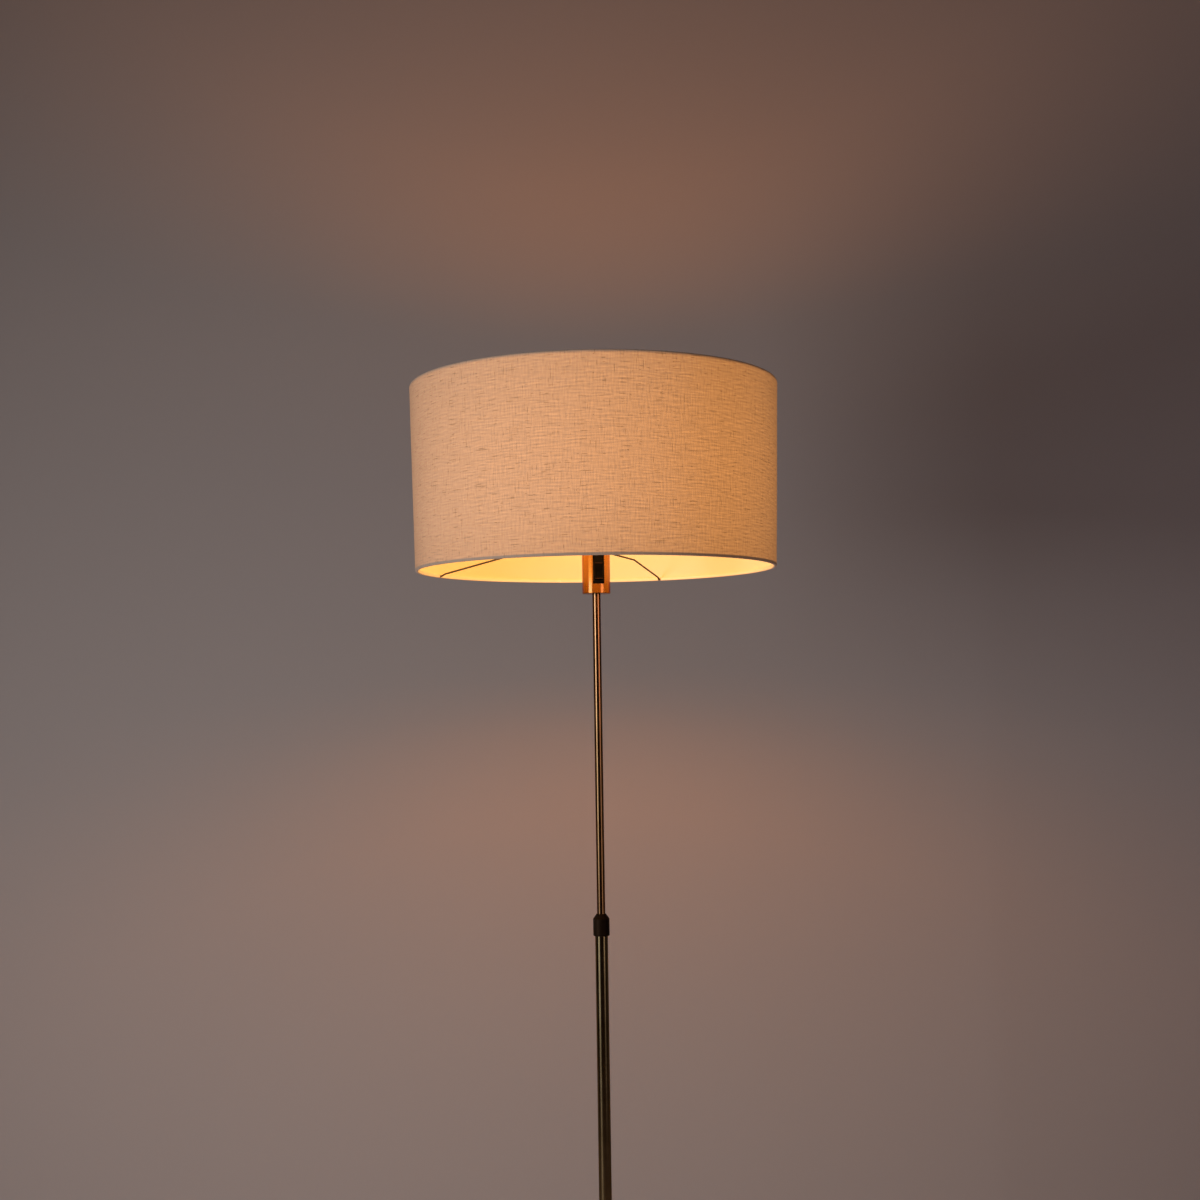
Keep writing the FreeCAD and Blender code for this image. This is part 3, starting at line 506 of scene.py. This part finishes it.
def linen_shade():
    """The cloth as one sheet: up from its lower hem inside the shade, round the bottom wire, up the outside, round the
    top wire and down to the upper hem's edge. It is cut out round the four wires, and its ends overlap at the back."""
    half = CLOTH / 2
    wrap = 0.0015 + 0.00005 + half  # the sheet's middle lies this far from a wire's middle
    low_r, low_z, top_r, top_z = 0.2414, 1.4022, 0.2474, 1.6478
    wall = lambda z: R0 - half + (z - Z0) / (Z1 - Z0) * (R1 - R0)  # noqa: E731
    path = [(low_r - wrap, Z0 + 0.0046), (low_r - wrap, Z0 + 0.0038), (low_r - wrap, Z0 + 0.0030)]
    path += arc(low_r, low_z, wrap, 180, 270, 6)
    turn_r = 0.0011
    path += arc(wall(Z0 + 0.0015) - turn_r, low_z - wrap + turn_r, turn_r, 270, 360, 5)
    hem_low = len(path)
    rows = 58
    z_from, z_to = low_z - wrap + turn_r, top_z + wrap - turn_r
    for i in range(1, rows):
        z = z_from + (z_to - z_from) * i / rows
        path.append((wall(z), z))
    hem_high = len(path)
    path += arc(wall(z_to) - turn_r, z_to, turn_r, 0, 90, 5)
    path += arc(top_r, top_z, wrap, 90, 180, 6)
    path += [(top_r - wrap, Z1 - 0.0030), (top_r - wrap, Z1 - 0.0038), (top_r - wrap, Z1 - 0.0046)]
    path = np.array(path)
    steps = np.diff(path, axis=0)
    along = np.concatenate([[0], np.cumsum(np.linalg.norm(steps, axis=1))])
    slope = np.gradient(path, along, axis=0)
    slope /= np.linalg.norm(slope, axis=1)[:, None]
    normal = np.stack([slope[:, 1], -slope[:, 0]], 1)  # out of the cloth's right side

    overlap = 0.0115 / 0.247
    count = 520
    turns = [-math.pi + (2 * math.pi + overlap) * i / count for i in range(count + 1)]
    # The snips at the wires need columns that end exactly there.
    gap = 0.0020 / 0.2400
    cuts = []
    for a in ARMS:
        t = math.atan2(math.cos(a), -math.sin(a))  # the same turn as the material uses: nought at -y, growing to +x
        cuts.append((t - gap, t + gap))
        for edge in (t - gap, t + gap):
            k = min(range(1, count), key=lambda i: abs(turns[i] - edge))
            turns[k] = edge
    n_rows, n_cols = len(path), len(turns)
    verts = []
    for side in (1, -1):
        for c, t in enumerate(turns):
            lift = 0.0
            if t > math.pi - 0.006:  # the last stretch lies on top of the first
                s = min(1.0, (t - (math.pi - 0.006)) / 0.008)
                lift = 0.00066 * s * s * (3 - 2 * s)
            for k in range(n_rows):
                r, z = path[k]
                nr, nz = normal[k]
                wob = 0.0
                if hem_low <= k < hem_high:
                    fade = min(1.0, (k - hem_low) / 4, (hem_high - 1 - k) / 4)
                    wob = 0.00022 * fade * noise.noise(Vector((math.cos(t) * 5, math.sin(t) * 5, z * 14)))
                elif k < 3 or k >= n_rows - 3:
                    wave = noise.noise(Vector((math.cos(t) * 26, math.sin(t) * 26, 3.0 + (k > 9))))
                    edge = 1.0 if k in (0, n_rows - 1) else (0.55 if k in (1, n_rows - 2) else 0.2)
                    z += 0.00045 * wave * edge * (1 if k < 3 else -1)
                    wob = 0.00010 * wave * edge
                rr = r + nr * (side * half + wob + lift)
                zz = z + nz * (side * half)
                verts.append((rr * math.sin(t), -rr * math.cos(t), zz))
    faces, tags = [], []
    top = n_rows * n_cols

    def at(side, c, k):
        return side * top + c * n_rows + k

    def cut(c, k):
        mid = (turns[c] + turns[c + 1]) / 2
        return k < 7 and any(a < mid < b for a, b in cuts)

    for c in range(n_cols - 1):
        for k in range(n_rows - 1):
            if cut(c, k):
                continue
            faces.append((at(0, c, k), at(0, c + 1, k), at(0, c + 1, k + 1), at(0, c, k + 1)))
            tags.append((0, c, k))
            faces.append((at(1, c, k), at(1, c, k + 1), at(1, c + 1, k + 1), at(1, c + 1, k)))
            tags.append((1, c, k))
            for there, quad in (
                (k == 0 or cut(c, k - 1), (at(1, c, k), at(1, c + 1, k), at(0, c + 1, k), at(0, c, k))),
                (k == n_rows - 2, (at(0, c, k + 1), at(0, c + 1, k + 1), at(1, c + 1, k + 1), at(1, c, k + 1))),
                (c == 0 or cut(c - 1, k), (at(0, c, k), at(0, c, k + 1), at(1, c, k + 1), at(1, c, k))),
                (c == n_cols - 2 or cut(c + 1, k), (at(1, c + 1, k), at(1, c + 1, k + 1), at(0, c + 1, k + 1), at(0, c + 1, k))),
            ):
                if there:
                    faces.append(quad)
                    tags.append((2, c, k))
    ob = mesh_object("linen_shade", verts, faces, M["linen"])
    # A flat pattern for textures: four lengths of the cloth and both its sides, each in a tile of its own.
    me = ob.data
    layer = me.uv_layers.new(name="OFBake")
    span, long_way = turns[-1] - turns[0], float(along[-1])
    uv = np.zeros((len(me.loops), 2), np.float32)
    loop = 0
    for (kind, c, k), p in zip(tags, me.polygons):
        quarter = min(3, int(4 * ((turns[c] + turns[c + 1]) / 2 - turns[0]) / span))
        side = 1 if kind == 1 else 0
        tile = quarter * 2 + side
        ox, oy = (tile % 2) * 0.5, (tile // 2) * 0.25
        for vi in p.vertices:
            j = vi % top
            cc, kk = j // n_rows, j % n_rows
            a = (turns[cc] - turns[0]) / span * 4 - quarter
            uv[loop] = (ox + 0.5 * (0.015 + 0.97 * min(1.0, max(0.0, a))), oy + 0.25 * (0.03 + 0.94 * along[kk] / long_way))
            loop += 1
    layer.uv.foreach_set("vector", uv.ravel())
    return ob, long_way, (turns[-1] - turns[0]) * 0.247


shade, sheet_high, sheet_long = linen_shade()
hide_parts("shade_fabric")
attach(shade, "head")


def beads():
    """Drops of solder where the wires meet the hub ring and the bottom ring."""
    bm = bmesh.new()
    for n, a in enumerate(ARMS):
        out = Vector((math.cos(a), math.sin(a), 0))
        side = Vector((-math.sin(a), math.cos(a), 0))
        for m, (r, z, size) in enumerate(((0.0243, 1.42785, (0.0021, 0.0019, 0.0012)), (0.2400, 1.40225, (0.0019, 0.0021, 0.0016)))):
            start = len(bm.verts)
            bmesh.ops.create_icosphere(bm, subdivisions=3, radius=1.0)
            bm.verts.ensure_lookup_table()
            for v in bm.verts[start:]:
                d = v.co.copy()
                d *= 1 + 0.16 * noise.noise(d * 1.7 + Vector((n * 7.3, m * 3.1, 1.1)))
                v.co = out * (r + d.x * size[0]) + side * (d.y * size[1]) + Vector((0, 0, z + d.z * size[2]))
    me = bpy.data.meshes.new("solder_beads")
    bm.to_mesh(me)
    bm.free()
    for p in me.polygons:
        p.use_smooth = True
    me.materials.append(M["bronze_wire"])
    ob = bpy.data.objects.new("solder_beads", me)
    SCENE.collection.objects.link(ob)
    return ob


solder = beads()
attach(solder, "head")


# ------------------------------------------------------------------------------------------------------------- stage
def bowl(radius=7.0, curve=2.2, height=5.5):
    """The floor, which rises at its far edge into a plain round wall."""
    prof = [(0.0, 0.0), (0.6, 0.0), (1.5, 0.0), (3.0, 0.0)]
    prof += [(radius - curve + curve * math.sin(math.radians(a)), curve - curve * math.cos(math.radians(a))) for a in range(0, 91, 6)]
    prof += [(radius, height)]
    seg = 96
    verts, faces = [(0, 0, 0)], []
    for r, z in prof[1:]:
        for s in range(seg):
            a = 2 * math.pi * s / seg
            verts.append((r * math.cos(a), r * math.sin(a), z))
    for s in range(seg):
        faces.append((0, 1 + s, 1 + (s + 1) % seg))
    for k in range(len(prof) - 2):
        for s in range(seg):
            a, b = 1 + k * seg + s, 1 + k * seg + (s + 1) % seg
            faces.append((a, a + seg, b + seg, b))
    return mesh_object("floor", verts, faces, paint("floor_paint", (0.56, 0.515, 0.50)))


def backdrop(distance=0.86, width=13.0, height=5.0, curve=0.30):
    """A plain sheet that hangs behind the lamp and runs out on to the floor."""
    prof = [(distance - curve - 0.9, 0.0006), (distance - curve, 0.0006)]
    prof += [(distance - curve + curve * math.sin(math.radians(a)), 0.0006 + curve - curve * math.cos(math.radians(a))) for a in range(6, 91, 6)]
    prof += [(distance, 1.2), (distance, 2.4), (distance, height)]
    back, side = -FRONT, Vector((FRONT.y, -FRONT.x, 0))
    verts, faces = [], []
    for d, z in prof:
        for s in (-1, 1):
            verts.append(back * d + side * (s * width / 2) + Vector((0, 0, z)))
    for k in range(len(prof) - 1):
        faces.append((2 * k, 2 * k + 1, 2 * k + 3, 2 * k + 2))
    ob = mesh_object("backdrop", verts, faces, paint("backdrop_paint", (0.56, 0.515, 0.50)))
    me = ob.data
    if sum((p.normal.dot(FRONT) + p.normal.z) * p.area for p in me.polygons) < 0:
        me.flip_normals()
    return ob


floor, wall = bowl(), backdrop()


# ------------------------------------------------------------------------------------------------------------ lights
def aim(ob, target):
    ob.rotation_mode = "QUATERNION"
    ob.rotation_quaternion = (Vector(target) - ob.location).to_track_quat("-Z", "Y")


def panel(name, place, target, width, height, watts, colour):
    """A soft light: an even rectangle that itself isn't seen."""
    data = bpy.data.lights.new(name, "AREA")
    data.shape, data.size, data.size_y = "RECTANGLE", width, height
    data.energy, data.color = watts, colour
    ob = bpy.data.objects.new(name, data)
    ob.location = place
    SCENE.collection.objects.link(ob)
    aim(ob, target)
    ob.visible_camera = False
    return ob


def round_lamp(name, place, radius, watts, colour):
    data = bpy.data.lights.new(name, "POINT")
    data.shadow_soft_size, data.energy, data.color = radius, watts, colour
    ob = bpy.data.objects.new(name, data)
    ob.location = place
    SCENE.collection.objects.link(ob)
    ob.visible_camera = False
    return ob


def leave_out(lamp, objects):
    """The lamp lights everything but these objects."""
    group = bpy.data.collections.new("not_lit_by_" + lamp.name)
    for ob in objects:
        group.objects.link(ob)
    for item in group.collection_objects:
        item.light_linking.link_state = "EXCLUDE"
    lamp.light_linking.receiver_collection = group


def light_only(lamp, objects):
    """The lamp lights these objects and no others."""
    group = bpy.data.collections.new("lit_by_" + lamp.name)
    for ob in objects:
        group.objects.link(ob)
    lamp.light_linking.receiver_collection = group


def from_mast(degrees, distance, z):
    """A place at that angle from the viewpoint's direction, seen from above: negative is the picture's left."""
    a = math.radians(degrees)
    right = Vector((-FRONT.y, FRONT.x, 0))
    d = FRONT * math.cos(a) + right * math.sin(a)
    return Vector((d.x * distance, d.y * distance, z))


world = bpy.data.worlds.new("studio")
SCENE.world = world
world.use_nodes = True
world.node_tree.nodes["Background"].inputs[0].default_value = (1.0, 0.62, 0.56, 1)
world.node_tree.nodes["Background"].inputs[1].default_value = 0.0175

MAST = [NODES["upper_tube"], NODES["lower_tube"], NODES["holder_cup"]]
key = panel("key_light", from_mast(-50, 2.7, 0.98), (0, 0, 0.80), 0.9, 1.8, 14.9, (1.0, 0.918, 0.905))
key.data.spread = math.radians(125)
leave_out(key, MAST)
fill = panel("fill_right", from_mast(49, 2.3, 1.3), (0, 0, 1.3), 0.80, 1.8, 3.0, (1.0, 0.72, 0.66))
leave_out(fill, MAST + [floor, wall])
# The wall and the floor get a low wash of their own and a little from the right.
wash = panel("wall_low", FRONT * 0.55 + Vector((0, 0, 0.50)), Vector((0, 0, 0.47)) - FRONT * 0.86, 2.3, 0.35, 0.60, (0.76, 1.0, 0.97))
wash.data.spread = math.radians(120)
light_only(wash, [floor, wall])
light_only(panel("wall_side", from_mast(60, 1.6, 1.25), from_mast(60, 1.6, 1.25) - FRONT, 0.8, 0.8, 0.95, (1.0, 0.74, 0.90)), [floor, wall])
# The mast's own lights are stacked and dimmer towards the floor, so its streaks fade downwards.
for name, turn, away, wide, low, high, radiance, tint in (
    ("mast_left_a", -50, 2.6, 1.25, 1.22, 2.30, 4.10, (1.0, 0.97, 0.99)),
    ("mast_left_b", -50, 2.6, 1.35, 0.78, 1.20, 2.20, (0.80, 0.95, 1.00)),
    ("mast_left_c", -50, 2.6, 1.30, 0.22, 0.74, 0.74, (1.0, 0.98, 1.00)),
    ("mast_right_a", 49, 2.3, 0.95, 1.22, 2.20, 2.70, (1.0, 0.58, 0.44)),
    ("mast_right_b", 49, 2.3, 0.90, 0.82, 1.20, 0.60, (1.0, 0.90, 0.90)),
    ("mast_right_c", 49, 2.3, 0.90, 0.54, 0.80, 0.95, (1.0, 0.80, 0.70)),
    ("mast_right_d", 49, 2.3, 0.80, 0.24, 0.50, 0.16, (1.0, 0.92, 0.90)),
):
    middle, tall = (low + high) / 2, high - low
    light_only(panel(name, from_mast(turn, away, middle), (0, 0, middle), wide, tall, radiance * math.pi * wide * tall, tint), MAST)

inside = round_lamp("bulb_light", BULB, 0.031, 0.67, (1.0, 0.51, 0.095))
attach(inside, "head")
leave_out(inside, [floor, wall])
spill = round_lamp("bulb_spill", BULB, 0.055, 10.9, (1.0, 0.287, 0.004))
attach(spill, "head")
light_only(spill, [floor, wall])
down = round_lamp("bulb_down", BULB, 0.031, 12.0, (1.0, 0.38, 0.09))
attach(down, "head")
leave_out(down, [floor, wall, shade, solder] + [NODES[n] for n in NODES if frame["nodes"][n]["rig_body"] == "head" and n not in ("upper_tube", "holder_cup")])
NODES["bulb_globe"].visible_shadow = False

# ------------------------------------------------------------------------------------------------------------ camera
data = bpy.data.cameras.new("camera")
data.sensor_fit, data.sensor_width, data.lens = "HORIZONTAL", 36.0, 47.76
data.dof.use_dof = False
camera = bpy.data.objects.new("camera", data)
SCENE.collection.objects.link(camera)
SCENE.camera = camera
ahead = Vector((0.18878, 0.98032, 0.05783)).normalized()
level = ahead.cross(Vector((0, 0, 1))).normalized()
upward = level.cross(ahead)
tilt = math.radians(0.87)
right = level * math.cos(tilt) - upward * math.sin(tilt)
up = level * math.sin(tilt) + upward * math.cos(tilt)
pose = Matrix((right, up, -ahead)).transposed().to_4x4()
pose.translation = Vector((-0.4031, -2.1185, 1.2348))
camera.matrix_world = pose
